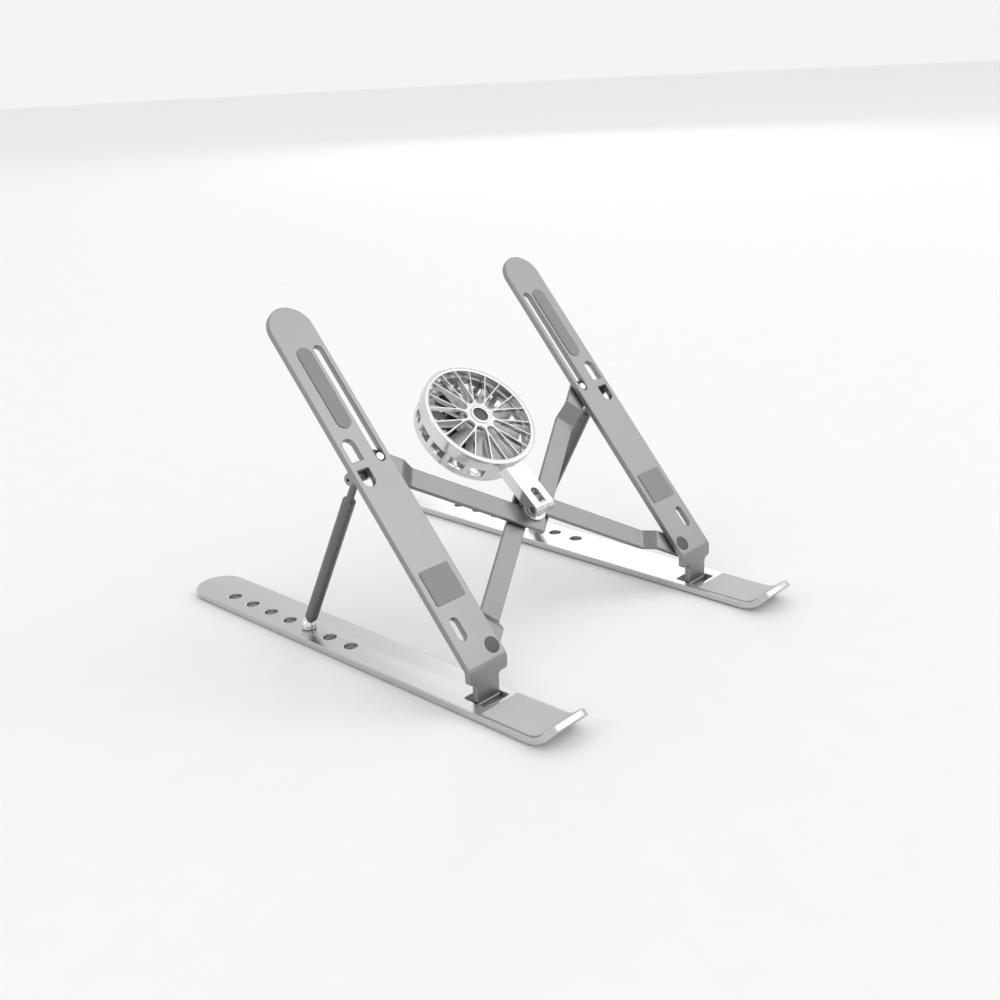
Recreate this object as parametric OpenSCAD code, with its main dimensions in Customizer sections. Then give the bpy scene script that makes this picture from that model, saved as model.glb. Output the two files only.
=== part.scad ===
// Folding laptop cooling pad: two base rails, two slanted arms held up by struts, a crossed pair of
// bars that sets the width, and a round fan on a hinged bracket between the arms.
// X runs left to right, Y from the lip at the front to the rear, Z up; millimetres throughout.

/* [Base rails] */
// Length of a rail from the front of its lip to its rear end
rail_len = 250; // [235:1:275]
// Width of a rail
rail_w = 25.2; // [24:0.2:30]
// Thickness of a rail
rail_t = 3.2; // [3:0.1:4]
// Distance from the middle of the pad to the middle of a rail
rail_x = 77.9; // [76:0.1:90]
// Angle of the lip at its end
lip_angle = 50; // [35:1:60]
// Radius of the bend at the lip, on the upper side
lip_r = 14; // [10:1:18]
// Straight end of the lip
lip_end = 3; // [2:0.5:6]
// Number of height holes
hole_count = 7; // [5:1:8]
// Spacing of the height holes
hole_pitch = 15; // [12:0.5:16]
// Radius of a height hole
hole_r = 3.2; // [2.8:0.1:3.4]
// Which hole the strut's foot stands in, counted from the rear
strut_hole = 5; // [3:1:7]
// How far the rubber feet stand out below the rail
foot_h = 0.8; // [0.6:0.1:1.5]
// Depth of the pockets that the rubber feet and the pads are glued in
pocket = 0.6; // [0.4:0.1:1]
// How far a grip pad stands out of its pocket
pad_proud = 0.5; // [0.3:0.1:1]

/* [Arms] */
// Slope of the arms
arm_angle = 49.6; // [44:0.1:52]
// Length of an arm from its hinge to its tip
arm_len = 192; // [186:1:215]
// Width of an arm
arm_w = 22.8; // [22:0.2:26]
// Distance from the middle of the pad to the middle of an arm
arm_x = 75.8; // [74:0.1:90]
// Thickness of an arm
arm_t = 3; // [2.6:0.1:3.4]
// Height of the arm's upper face above the hinge, square to the arm
arm_top = 12.4; // [12:0.1:14]
// Inner radius of the bend at the foot of an arm
bend_r = 1; // [0.8:0.1:2]
// Width of the tab that goes down into the rail
tab_w = 13.3; // [12:0.1:14]
// Radius of the hinge barrel at the end of the tab
barrel_r = 2; // [1.8:0.1:2.3]

/* [Crossed bars] */
// Half of the distance between the two lower bar pivots
cross_x = 69.2; // [67:0.1:84]
// Distance along the arm from its hinge to the lower bar pivot
cross_low = 18.4; // [16:0.2:22]
// Distance along the arm from its hinge to the upper bar pin
cross_high = 112.8; // [108:0.2:120]
// Width of a bar, and of each half of its stepped middle
bar_w = 10; // [8:0.5:11]
// Thickness of a bar
bar_t = 2.1; // [1.8:0.1:2.2]
// Angle between a bar and the arms when the stand is closed sideways
closed_angle = 27; // [27:0.5:32]

/* [Struts] */
// Distance along the arm from its hinge to the strut's pivot
strut_s = 109.1; // [104:0.1:116]
// Diameter of a strut
strut_d = 6; // [5:0.5:6]
// Radius of the polished ball at the foot of a strut
ball_r = 3.75; // [3.6:0.05:4.5]

/* [Fan] */
// Outer radius of the fan's front ring
fan_r = 29.3; // [26:0.1:29.6]
// Distance from the fan's hinge pin to the middle of the fan
fan_reach = 52.7; // [50:0.1:60]
// Distance along the arms from their hinge to the fan's hinge pin
fan_pin_s = 64.5; // [63:0.1:66]
// Slope of the fan below the slope of the arms
fan_drop = 8.6; // [6:0.1:9]
// Number of ribs in the front grille
rib_count = 20; // [12:1:28]
// Number of impeller blades
blade_count = 11; // [7:2:15]
// Depth of the fan's housing
housing_depth = 16; // [14:0.5:17]

/* [Fits] */
// Radial clearance of a pin that turns in its bore
run_fit = 0.05; // [0.03:0.01:0.08]
// Gap between parts that move past each other
gap = 0.4; // [0.3:0.05:0.5]

/* [Hidden] */
$fn = 48;
eps = 0.01;

rail_top = foot_h + rail_t;
rail_front = -rail_len / 2;
rail_rear = rail_len / 2;
// The lip's bend starts here, so that the lip ends at the front of the rail.
bend_y = rail_front + (lip_r + rail_t) * sin(lip_angle) + lip_end * cos(lip_angle);
hinge_y = rail_front + 48.1;
hinge_z = foot_h + rail_t / 2;
slot_len = 12.5;
slot_w = tab_w + 2 * gap;
tab_x = arm_x + 0.8;
hinge_pin_r = 1;
hinge_pin_len = slot_w + 6;
hole_x = 81.5 + (rail_x - 77.9);
strut_hole_y = rail_rear - 90;
hole_first_y = strut_hole_y + (strut_hole - 1) * hole_pitch;
rail_pad_y = hinge_y - slot_len / 2 - 2.4;
rail_pad_w = rail_w - 3;
strip_w = hole_x - hole_r - rail_x + rail_w / 2 - 5;
// The rubber feet of a rail: a pad at each end and a strip beside the holes; each x, y, width, length.
feet = [
    [rail_x, (bend_y + rail_pad_y) / 2, 15, 18],
    [rail_x - rail_w / 2 + 2 + strip_w / 2, strut_hole_y - 15, strip_w, 90],
    [rail_x, rail_rear - 16, 15, 16]
];

arm_bottom = arm_top - arm_t;
bend_out = bend_r + arm_t;
// A bend and the flat sheet beside it run this far, and turn this much, into each other.
blend = 0.3;
blend_angle = 2.5;
// Centre of the arm's bend, in the hinge's own upright frame.
bend_cy = arm_t / 2 + bend_r;
bend_cz = (arm_top - bend_out + bend_cy * sin(arm_angle)) / cos(arm_angle);
bend_s = bend_cy * cos(arm_angle) + bend_cz * sin(arm_angle);
shoulder_z = bend_cz - 5;
slot_half = 2.2;
pin_r = 1.9;
shank_r = 1.5;
cap_r = 3.75;
cap_t = 1;
square_pad_s = 50.7;
square_pad = 16.4;
long_pad_w = 7.6;
long_pad_x = arm_x + 1.5;
long_pad_s = [129.4, 170.9];

// The bars lie in two layers under the arms, with their ends cranked up to the arms.
bar_half = norm([cross_x, (cross_high - cross_low) / 2]);
cross_mid = (cross_low + cross_high) / 2;
bar_step = bar_w / 2;
bar_run = sqrt(bar_half * bar_half - bar_step * bar_step);
bar_turn = atan2((cross_high - cross_low) / 2, cross_x) + asin(bar_step / bar_half);
slot_end_s = cross_low + 2 * bar_half * cos(closed_angle) + gap;
washer_t = 0.5;
bar_a_top = arm_bottom - 4.4;
bar_b_top = bar_a_top - bar_t - washer_t;
bar_end_top = arm_bottom - gap;
crank_in = 12;
crank_out = 20;
overlap = 7;
pivot_r = 2.5;
flange_t = 1.4;

strut_n = arm_bottom - strut_d / 2 - 0.2;
strut_pin_r = 1;
eye_r = 2.6;
lug_t = 1.7;
lug_gap = strut_d + 2 * gap;
strut_slot = [101.2, 124.6];
strut_slot_r = 3.1;
bridge_s = [109.6, 113.8];
// The ball rests on the rim of its hole.
ball_z = sqrt(ball_r * ball_r - hole_r * hole_r) + 0.06;
// From the strut's pivot to the middle of the ball, in the upright frame of the arm's hinge.
strut_py = strut_s * cos(arm_angle) - strut_n * sin(arm_angle);
strut_pz = strut_s * sin(arm_angle) + strut_n * cos(arm_angle);
strut_vy = strut_hole_y - hinge_y - strut_py;
strut_vz = rail_top + ball_z - hinge_z - strut_pz;
strut_len = norm([strut_vy, strut_vz]);
strut_lean = atan2(strut_vy, -strut_vz);

fork_r = 3;
fork_root = 7;
fan_pin_n = bar_a_top + flange_t + fork_r + 1;
fan_pin_r = 1.5;
ear_t = 4;
tongue_w = 4.4;
bracket_w = 2 * ear_t + tongue_w;
front_h = 5.7;
rear_h = front_h - housing_depth;
ring_h = 6.2;
ring_wall = 2.6;
ring_seat = 4;
housing_r = fan_r - 1.6;
housing_wall = 1.8;
bowl_r = housing_r - housing_wall;
hub_ring_r = 5.2;
hub_cap_r = 3.7;
rib_t = 0.9;
rib_h = 1.8;
blade_t = 0.9;
impeller_r = bowl_r - 1.2;
impeller_hub_r = 8.5;
rotor_r = 7.3;
magnet_t = 1.2;
bearing_r = 2.5;
impeller_top = front_h - rib_h - 1.2;
impeller_h = 8;
blade_w = 8;
blade_pitch = 38;
board_t = 1;
usb_w = 9;
usb_h = 3.2;
usb_l = 6;
shaft_r = 1;
cover_t = 1.6;
window_count = 16;
window_h = 4.4;
// The places with a window, leaving out those behind the bracket and over the power inlet.
windows = [0, 1, 2, 5, 6, 7, 8, 9, 10, 13, 14, 15];
screw_count = 4;
boss_r = 2;
boss_h = 5;
screw_r = 0.8;
screw_ring = bowl_r - boss_r - 0.2;

// Places what is drawn for the right side on the left side.
module on_left() { mirror([1, 0, 0]) children(); }

// The frame of the right arm: X across, Y along the arm from its hinge, Z square to its upper face.
module on_arm() {
    translate([0, hinge_y, hinge_z]) rotate([arm_angle, 0, 0]) children();
}

// The frame of the fan: origin on its hinge pin, Y towards the fan, Z out of its front face.
module on_fan() {
    on_arm() translate([0, fan_pin_s, fan_pin_n]) rotate([-fan_drop, 0, 0]) children();
}

module fan_disc(r, low, high) {
    translate([0, fan_reach, low]) cylinder(r = r, h = high - low, $fn = 96);
}

module along_x(r, x0, x1) {
    translate([x0, 0, 0]) rotate([0, 90, 0]) cylinder(r = r, h = x1 - x0);
}

module slot_2d(x, s0, s1, r) {
    translate([x - r, s0 + r]) square([2 * r, s1 - s0 - 2 * r]);
    translate([x, s0 + r]) circle(r);
    translate([x, s1 - r]) circle(r);
}

module rounded_2d(w, l, r) {
    translate([-w / 2 + r, -l / 2]) square([w - 2 * r, l]);
    translate([-w / 2, -l / 2 + r]) square([w, l - 2 * r]);
    for (x = [-1, 1], y = [-1, 1]) translate([x * (w / 2 - r), y * (l / 2 - r)]) circle(r);
}

// Side view of the rail between two heights over its upper face, with the curve of the lip.
module lip_profile(low, high, from_y, tip) {
    in_r = lip_r - high;
    out_r = lip_r - low;
    translate([bend_y, low]) square([from_y - bend_y, high - low]);
    translate([bend_y, lip_r]) {
        difference() {
            circle(out_r, $fn = 96);
            circle(in_r, $fn = 96);
            translate([0, -2 * out_r]) square([2 * out_r, 4 * out_r]);
            rotate(-lip_angle - blend_angle) translate([-2 * out_r, -2 * out_r]) square([2 * out_r, 4 * out_r]);
            translate([-2 * out_r, 0]) square([4 * out_r, 2 * out_r]);
        }
        rotate(-lip_angle) translate([-tip, -out_r]) square([tip + 2 * blend, high - low]);
    }
}

module side_extrude(x, w) {
    translate([x - w / 2, 0, rail_top]) rotate([90, 0, 90]) linear_extrude(w) children();
}

// Plan of the front end, with rounded corners.
module lip_plan(w, r) {
    y0 = rail_front - 2;
    translate([rail_x - w / 2, y0 + r]) square([w, bend_y + 1 - y0 - r]);
    translate([rail_x - w / 2 + r, y0]) square([w - 2 * r, r + eps]);
    for (x = [-1, 1]) translate([rail_x + x * (w / 2 - r), y0 + r]) circle(r);
}

// The flat run of the rail, and the lip with its corners rounded.
module rail_sheet() {
    round_y = rail_rear - rail_w / 2;
    translate([rail_x, 0, foot_h]) {
        translate([-rail_w / 2, bend_y, 0]) cube([rail_w, round_y - bend_y, rail_t]);
        translate([0, round_y, 0]) cylinder(r = rail_w / 2, h = rail_t, $fn = 96);
    }
    intersection() {
        side_extrude(rail_x, rail_w) lip_profile(-rail_t, 0, bend_y + 1, lip_end);
        linear_extrude(60) lip_plan(rail_w, 7);
    }
}

module rail() {
    difference() {
        rail_sheet();
        translate([tab_x - slot_w / 2, hinge_y - slot_len / 2, -1]) cube([slot_w, slot_len, rail_top + 2]);
        translate([0, hinge_y, hinge_z])
            along_x(hinge_pin_r, tab_x - hinge_pin_len / 2, tab_x + hinge_pin_len / 2);
        for (i = [0 : hole_count - 1])
            translate([hole_x, hole_first_y - i * hole_pitch, -1]) cylinder(r = hole_r, h = rail_top + 2);
        translate([0, 0, -1]) linear_extrude(1 + foot_h + pocket) feet_plan();
    }
}

module feet_plan() {
    for (foot = feet) translate([foot[0], foot[1]]) rounded_2d(foot[2], foot[3], 3);
}

module left_rail() { color("silver") on_left() rail(); }
module right_rail() { color("silver") rail(); }

module rail_feet() { linear_extrude(foot_h + pocket) feet_plan(); }

module left_rail_feet() { color("dimgray") on_left() rail_feet(); }
module right_rail_feet() { color("dimgray") rail_feet(); }

// The grip pad is glued to the front of the rail and runs up the lip.
module rail_pad() {
    translate([rail_x - rail_pad_w / 2, bend_y, rail_top]) cube([rail_pad_w, rail_pad_y - bend_y, pad_proud]);
    intersection() {
        side_extrude(rail_x, rail_pad_w) lip_profile(0, pad_proud, bend_y + 1, lip_end - 1);
        translate([0, 1, 0]) linear_extrude(60) lip_plan(rail_pad_w, 6);
    }
}

module left_rail_pad() { color("darkgray") on_left() rail_pad(); }
module right_rail_pad() { color("darkgray") rail_pad(); }

module hinge_pin() {
    translate([0, hinge_y, hinge_z])
        along_x(hinge_pin_r, tab_x - hinge_pin_len / 2 + 0.1, tab_x + hinge_pin_len / 2 - 0.1);
}

module left_hinge_pin() { color("gray") on_left() hinge_pin(); }
module right_hinge_pin() { color("gray") hinge_pin(); }

module arm_plan() {
    tip_s = arm_len - arm_w / 2;
    difference() {
        union() {
            translate([arm_x - arm_w / 2, bend_s - blend]) square([arm_w, tip_s - bend_s + blend]);
            translate([arm_x, tip_s]) circle(arm_w / 2, $fn = 96);
        }
        slot_2d(cross_x, cross_high - slot_half - 0.2, slot_end_s + slot_half, slot_half);
        difference() {
            slot_2d(hole_x, strut_slot[0], strut_slot[1], strut_slot_r);
            translate([hole_x - 5, bridge_s[0]]) square([10, bridge_s[1] - bridge_s[0]]);
        }
        slot_2d(arm_x + 4.8, 25.2, 35.8, slot_half);
    }
}

// The sheet below the bend: full width at the top, narrowed by round shoulders to the tab.
module tab_plan() {
    step = (arm_w - tab_w) / 2;
    translate([tab_x - tab_w / 2, 0]) square([tab_w, shoulder_z + 1]);
    translate([arm_x - arm_w / 2, shoulder_z]) square([arm_w, bend_cz - shoulder_z + blend]);
    for (side = [-1, 1]) {
        edge = tab_x + side * tab_w / 2;
        difference() {
            translate([side > 0 ? edge - eps : edge - 2, shoulder_z - 2]) square([2 + eps, 2 + eps]);
            translate([edge + side * 2, shoulder_z - 2]) circle(2);
        }
    }
}

module arm() {
    difference() {
        union() {
            on_arm() {
                translate([0, 0, arm_bottom]) linear_extrude(arm_t) arm_plan();
                strut_lugs();
            }
            translate([0, hinge_y, hinge_z]) {
                translate([0, arm_t / 2, 0]) rotate([90, 0, 0]) linear_extrude(arm_t) tab_plan();
                along_x(barrel_r, tab_x - tab_w / 2, tab_x + tab_w / 2);
                // The bend turns the upright sheet into the slope of the arm.
                translate([arm_x - arm_w / 2, bend_cy, bend_cz]) rotate([0, 90, 0]) bend(arm_w);
            }
        }
        translate([0, hinge_y, hinge_z]) along_x(hinge_pin_r + run_fit, tab_x - tab_w, tab_x + tab_w);
        on_arm() {
            translate([cross_x, cross_low, arm_bottom - 1]) cylinder(r = pin_r, h = arm_t + 2);
            translate([cross_x, cross_low, arm_top - cap_t]) cylinder(r = cap_r, h = 2);
            translate([0, strut_s, strut_n]) along_x(strut_pin_r, hole_x - 6, hole_x + 6);
            translate([0, 0, arm_top - pocket]) linear_extrude(2) square_pad_plan();
            translate([0, 0, arm_top - pocket]) linear_extrude(2) long_pad_plan();
        }
    }
}

// Quarter-ring of sheet, from the upright tab to the slope; local X points down, Y to the rear.
module bend(w) {
    difference() {
        cylinder(r = bend_out, h = w, $fn = 96);
        translate([0, 0, -1]) cylinder(r = bend_r, h = w + 2, $fn = 96);
        rotate([0, 0, 4 * blend_angle]) translate([0, -2 * bend_out, -1])
            cube([2 * bend_out, 4 * bend_out, w + 2]);
        rotate([0, 0, arm_angle - 4 * blend_angle]) translate([-2 * bend_out, 0, -1])
            cube([4 * bend_out, 2 * bend_out, w + 2]);
    }
}

module strut_lugs() {
    for (side = [-1, 1])
        translate([hole_x + side * (lug_gap + lug_t) / 2 - lug_t / 2, 0, 0]) {
            translate([0, strut_s, strut_n]) rotate([0, 90, 0]) cylinder(r = eye_r, h = lug_t);
            translate([0, strut_s - eye_r, strut_n]) cube([lug_t, 2 * eye_r, arm_bottom - strut_n + eps]);
        }
}

module left_arm() { color("lightgray") on_left() arm(); }
module right_arm() { color("lightgray") arm(); }

module square_pad_plan() {
    translate([arm_x, square_pad_s]) rounded_2d(square_pad, square_pad, 0.8);
}

module long_pad_plan() {
    slot_2d(long_pad_x, long_pad_s[0], long_pad_s[1], long_pad_w / 2);
}

module square_grip() {
    on_arm() translate([0, 0, arm_top - pocket]) linear_extrude(pocket + pad_proud) square_pad_plan();
}

module long_grip() {
    on_arm() translate([0, 0, arm_top - pocket]) linear_extrude(pocket + pad_proud) long_pad_plan();
}

module left_square_pad() { color("gray") on_left() square_grip(); }
module right_square_pad() { color("gray") square_grip(); }
module left_long_pad() { color("gray") on_left() long_grip(); }
module right_long_pad() { color("gray") long_grip(); }

module strut_pin() {
    half = lug_gap / 2 + lug_t;
    on_arm() translate([0, strut_s, strut_n]) along_x(strut_pin_r, hole_x - half, hole_x + half);
}

module left_strut_pin() { color("gray") on_left() strut_pin(); }
module right_strut_pin() { color("gray") strut_pin(); }

// The frame of a strut: origin on its pivot, Z towards its foot.
module on_strut() {
    on_arm() translate([hole_x, strut_s, strut_n])
        rotate([180 - arm_angle + strut_lean, 0, 0]) children();
}

module strut() {
    neck_r = 1.7;
    neck_end = 13;
    eye_w = strut_d;
    collar_z = strut_len - ball_r - 1.2;
    difference() {
        on_strut() {
            along_x(eye_r, -eye_w / 2, eye_w / 2);
            cylinder(r = neck_r, h = neck_end + eps);
            translate([0, 0, neck_end]) cylinder(r1 = neck_r, r2 = strut_d / 2, h = 1);
            translate([0, 0, neck_end + 1]) cylinder(r = strut_d / 2, h = collar_z - neck_end - 1);
            translate([0, 0, collar_z - 0.1]) cylinder(r = 1.9, h = 2.4);
        }
        on_strut() along_x(strut_pin_r + run_fit, -5, 5);
        on_strut() translate([0, 0, strut_len]) sphere(r = ball_r);
    }
}

module strut_ball() { on_strut() translate([0, 0, strut_len]) sphere(r = ball_r); }

module left_strut() { color("dimgray") on_left() strut(); }
module right_strut() { color("dimgray") strut(); }
module left_strut_ball() { color("silver") on_left() strut_ball(); }
module right_strut_ball() { color("silver") strut_ball(); }

// One crossed bar, from upper left to lower right, in the plane of the arms.
module bar(top) {
    low = top - bar_t;
    end_low = bar_end_top - bar_t;
    translate([0, cross_mid, 0]) rotate([0, 0, -bar_turn]) difference() {
        union() {
            for (end = [0, 1]) rotate([0, 0, 180 * end]) {
                // Half of the middle run, stepped to one side of the pivot.
                translate([-overlap, 0, low]) cube([bar_run - crank_out + overlap, bar_w, bar_t]);
                translate([bar_run, bar_step, end_low]) cylinder(r = bar_w / 2, h = bar_t);
                translate([bar_run - crank_in, 0, end_low]) cube([crank_in, bar_w, bar_t]);
                // The crank between the two levels.
                translate([bar_run, 0, 0]) rotate([90, 0, 0]) mirror([0, 0, 1]) linear_extrude(bar_w) polygon([
                    [-crank_out - eps, low], [-crank_out, low], [-crank_in, end_low],
                    [-crank_in + eps, end_low], [-crank_in + eps, bar_end_top],
                    [-crank_in, bar_end_top], [-crank_out, top], [-crank_out - eps, top]
                ]);
            }
        }
        // The lower end turns on its rivet; the upper end holds its pin tight.
        translate([bar_run, bar_step, end_low - 1]) cylinder(r = shank_r + run_fit, h = bar_t + 2);
        translate([-bar_run, -bar_step, end_low - 1]) cylinder(r = shank_r, h = bar_t + 2);
        translate([0, 0, low - 1]) cylinder(r = pivot_r + run_fit, h = bar_t + 2);
    }
}

module cross_bar_a() { color("darkgray") on_arm() bar(bar_a_top); }
module cross_bar_b() { color("darkgray") on_arm() on_left() bar(bar_b_top); }

// A headed pin at the upper end of a bar, which slides in the arm's long slot.
module slider_pin() {
    on_arm() translate([cross_x, cross_high, 0]) {
        translate([0, 0, bar_end_top - bar_t - 0.8]) cylinder(r = 3.2, h = 0.8);
        translate([0, 0, bar_end_top - bar_t - eps]) cylinder(r = shank_r, h = bar_t + 2 * eps);
        translate([0, 0, bar_end_top]) cylinder(r = pin_r, h = arm_top - 0.3 - bar_end_top);
    }
}

module left_slider_pin() { color("silver") on_left() slider_pin(); }
module right_slider_pin() { color("silver") slider_pin(); }

// The rivet that joins the lower end of a bar to the arm, with a flat cap in the arm's face.
module corner_rivet() {
    on_arm() translate([cross_x, cross_low, 0]) {
        translate([0, 0, arm_top - cap_t]) cylinder(r = cap_r, h = cap_t + 0.2);
        translate([0, 0, arm_bottom - 0.2]) cylinder(r = pin_r, h = arm_t - cap_t + 0.2 + eps);
        translate([0, 0, bar_end_top - bar_t - 0.2 - eps]) cylinder(r = shank_r, h = bar_t + 0.6);
        translate([0, 0, bar_end_top - bar_t - 1]) cylinder(r = 3.4, h = 0.8);
    }
}

module left_corner_rivet() { color("dimgray") on_left() corner_rivet(); }
module right_corner_rivet() { color("dimgray") corner_rivet(); }

// The fan's post: a flange on the upper bar, a shaft through both bars and a tongue for the hinge.
module fan_post() {
    tongue_half = tongue_w / 2 - 0.15;
    color("lightgray") difference() {
        on_arm() {
            translate([0, cross_mid, bar_a_top + 0.1]) cylinder(r = 6, h = flange_t - 0.1);
            translate([0, cross_mid, bar_b_top - bar_t - 0.4])
                cylinder(r = pivot_r, h = bar_a_top - bar_b_top + bar_t + 0.6);
            translate([0, fan_pin_s, fan_pin_n]) along_x(fork_r, -tongue_half, tongue_half);
            translate([-tongue_half, fan_pin_s - fork_r, bar_a_top + flange_t - 0.2])
                cube([2 * tongue_half, 2 * fork_r, fan_pin_n - bar_a_top - flange_t + 0.2]);
        }
        on_arm() translate([0, fan_pin_s, fan_pin_n]) along_x(fan_pin_r, -6, 6);
        on_arm() translate([0, cross_mid, bar_b_top - bar_t - 1]) cylinder(r = 1, h = 5);
    }
}

module cross_rivet() {
    color("gray") on_arm() translate([0, cross_mid, bar_b_top - bar_t - 0.4]) {
        translate([0, 0, -0.9]) cylinder(r = 4.2, h = 0.9);
        cylinder(r = 1, h = 3);
    }
}

// The washer between the crossed bars.
module cross_washer() {
    color("dimgray") on_arm() translate([0, cross_mid, bar_b_top + 0.05]) difference() {
        cylinder(r = 5, h = washer_t - 0.1);
        translate([0, 0, -1]) cylinder(r = pivot_r + 0.1, h = 3);
    }
}

module fan_hinge_pin() {
    color("dimgray") on_fan() along_x(fan_pin_r, -bracket_w / 2 + 0.4, bracket_w / 2 - 0.4);
}

// The arm that carries the fan: a forked bar with a round end, joined to the housing by a broad foot.
module fan_bracket() {
    color("whitesmoke") on_fan() difference() {
        union() {
            along_x(fork_r, -bracket_w / 2, bracket_w / 2);
            translate([-bracket_w / 2, 0, -fork_r]) cube([bracket_w, fan_reach - bowl_r, 2 * fork_r]);
        }
        translate([-tongue_w / 2, -2 * fork_r, -2 * fork_r]) cube([tongue_w, fork_root + 2 * fork_r, 4 * fork_r]);
        translate([0, fork_root, -fork_r - 1]) cylinder(r = tongue_w / 2, h = 2 * fork_r + 2);
        along_x(fan_pin_r + run_fit, -bracket_w, bracket_w);
        fan_disc(housing_r, -2 * fork_r, 2 * fork_r);
        fan_disc(fan_r, front_h - ring_h, 2 * fork_r);
    }
}

module front_grille() {
    color("gainsboro") on_fan() {
        difference() {
            fan_disc(fan_r, front_h - ring_h, front_h);
            fan_disc(fan_r - ring_wall, front_h - ring_seat, front_h + 1);
            fan_disc(housing_r, front_h - ring_h - 1, front_h - ring_seat);
        }
        intersection() {
            fan_disc(fan_r - ring_wall + 0.2, front_h - rib_h - 1, front_h);
            translate([0, fan_reach, front_h - rib_h]) for (i = [0 : rib_count - 1])
                rotate([0, 0, i * 360 / rib_count]) translate([hub_ring_r - 0.4, 0.8, 0])
                    rotate([0, 0, 8]) cube([fan_r, rib_t, rib_h - 0.3]);
        }
        difference() {
            fan_disc(hub_ring_r, front_h - rib_h - 0.2, front_h + 0.2);
            fan_disc(hub_cap_r, front_h - rib_h - 1, front_h + 1);
        }
    }
}

module hub_cap() {
    color("dimgray") on_fan() fan_disc(hub_cap_r, front_h - rib_h, front_h - 0.2);
}

module fan_housing() {
    window_w = 2 * PI * housing_r / window_count - 3;
    color("gainsboro") on_fan() difference() {
        fan_disc(housing_r, rear_h + cover_t, front_h - ring_seat);
        fan_disc(bowl_r, rear_h, front_h);
        translate([0, fan_reach, rear_h + cover_t + 1.6]) for (i = windows)
            rotate([0, 0, (i + 0.5) * 360 / window_count])
                translate([bowl_r - 2, -window_w / 2, 0]) cube([2 + 2 * housing_wall, window_w, window_h]);
        translate([-usb_w / 2 - 0.1, fan_reach + bowl_r - 2, rear_h + cover_t + board_t - 0.1])
            cube([usb_w + 0.2, 2 + 2 * housing_wall, usb_h + 0.2]);
    }
}

module at_screws() {
    translate([0, fan_reach, rear_h]) for (i = [0 : screw_count - 1])
        rotate([0, 0, (i + 0.5) * 360 / screw_count]) translate([screw_ring, 0, 0]) children();
}

module rear_cover() {
    color("silver") on_fan() difference() {
        union() {
            fan_disc(housing_r, rear_h, rear_h + cover_t);
            at_screws() cylinder(r = boss_r, h = boss_h);
        }
        for (ring = [13, 17.5], i = [0 : 11])
            translate([0, fan_reach, rear_h - 1]) rotate([0, 0, i * 30 + ring]) translate([ring, 0, 0])
                cylinder(r = 1.7, h = cover_t + 2);
        at_screws() translate([0, 0, -1]) cylinder(r = screw_r, h = boss_h + 2);
        fan_disc(bearing_r, rear_h + 0.8, rear_h + cover_t + 1);
    }
}

module cover_screws() {
    color("gray") on_fan() at_screws() {
        translate([0, 0, -0.6]) cylinder(r = 1.5, h = 0.6);
        translate([0, 0, -eps]) cylinder(r = screw_r, h = boss_h - 0.5);
    }
}

module impeller() {
    color("silver") on_fan() difference() {
        union() {
            fan_disc(impeller_hub_r, impeller_top - impeller_h, impeller_top);
            translate([0, fan_reach, impeller_top - impeller_h / 2]) for (i = [0 : blade_count - 1])
                rotate([0, 0, i * 360 / blade_count]) translate([impeller_hub_r - 0.6, 0, 0])
                    rotate([blade_pitch, 0, 0]) translate([0, -blade_w / 2, -blade_t / 2])
                        cube([impeller_r - impeller_hub_r, blade_w, blade_t]);
        }
        fan_disc(rotor_r, impeller_top - impeller_h - 1, impeller_top - 1.4);
    }
}

module magnet_ring() {
    color("dimgray") on_fan() difference() {
        fan_disc(rotor_r, impeller_top - impeller_h + 0.6, impeller_top - 1.4);
        fan_disc(rotor_r - magnet_t, impeller_top - impeller_h, impeller_top);
    }
}

module motor_shaft() {
    color("silver") on_fan() fan_disc(shaft_r, rear_h + 1.4, impeller_top - 1.4);
}

module motor_bearing() {
    color("goldenrod") on_fan() difference() {
        fan_disc(bearing_r, rear_h + 0.8, impeller_top - 2.4);
        fan_disc(shaft_r + run_fit, rear_h + 1.2, impeller_top);
    }
}

module motor_stator() {
    stator_low = impeller_top - impeller_h + 1;
    color("peru") on_fan() difference() {
        union() {
            fan_disc(3.4, stator_low, impeller_top - 3);
            translate([0, fan_reach, stator_low]) for (i = [0 : 3]) rotate([0, 0, i * 90]) {
                translate([0, -0.8, 0]) cube([4.6, 1.6, 3]);
                intersection() {
                    translate([3.6, -2.4, 0]) cube([3, 4.8, 3]);
                    difference() { cylinder(r = 5.4, h = 3); translate([0, 0, -1]) cylinder(r = 4.4, h = 5); }
                }
            }
        }
        fan_disc(bearing_r, stator_low - 1, impeller_top);
    }
}

// The board runs out to the power inlet.
module circuit_board() {
    color("green") on_fan() difference() {
        union() {
            fan_disc(11, rear_h + cover_t, rear_h + cover_t + board_t);
            translate([-usb_w / 2, fan_reach, rear_h + cover_t]) cube([usb_w, bowl_r - 2, board_t]);
        }
        fan_disc(bearing_r + 0.1, rear_h, rear_h + cover_t + 2);
    }
}

// The power inlet stands in the housing's rear wall, away from the hinge.
module usb_socket() {
    wall = 0.5;
    color("silver") on_fan()
        translate([-usb_w / 2, fan_reach + housing_r - usb_l - 0.3, rear_h + cover_t + board_t]) difference() {
            cube([usb_w, usb_l, usb_h]);
            translate([wall, 1, wall]) cube([usb_w - 2 * wall, usb_l, usb_h - 2 * wall]);
        }
}

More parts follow.
